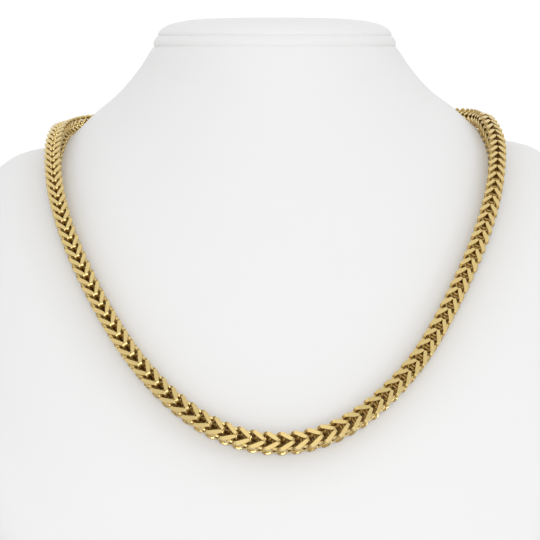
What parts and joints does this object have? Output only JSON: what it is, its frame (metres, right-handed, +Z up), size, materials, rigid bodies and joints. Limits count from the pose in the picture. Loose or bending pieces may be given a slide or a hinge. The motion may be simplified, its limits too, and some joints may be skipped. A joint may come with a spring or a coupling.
{
  "type": "franco chain necklace on a neck bust",
  "caption": "Square franco chain necklace of interlocked V-shaped links, worn round a plain white padded neck bust with a flat base.",
  "frame": {"origin": "on the table, below the middle of the bust", "axes": "+Z up along the neck, +X towards the bust's shoulder at the viewer's right, the chest faces -Y"},
  "size_m": [0.264, 0.24, 0.2115],
  "materials": {
    "bust_cover": "fine matt leatherette",
    "gold": "polished yellow gold"
  },
  "bodies": {
    "root": {"bust": "bust_cover", "neck_rim": "bust_cover", "neck_cap": "bust_cover", "chain": "gold", "clasp": "gold"}
  },
  "joints": []
}
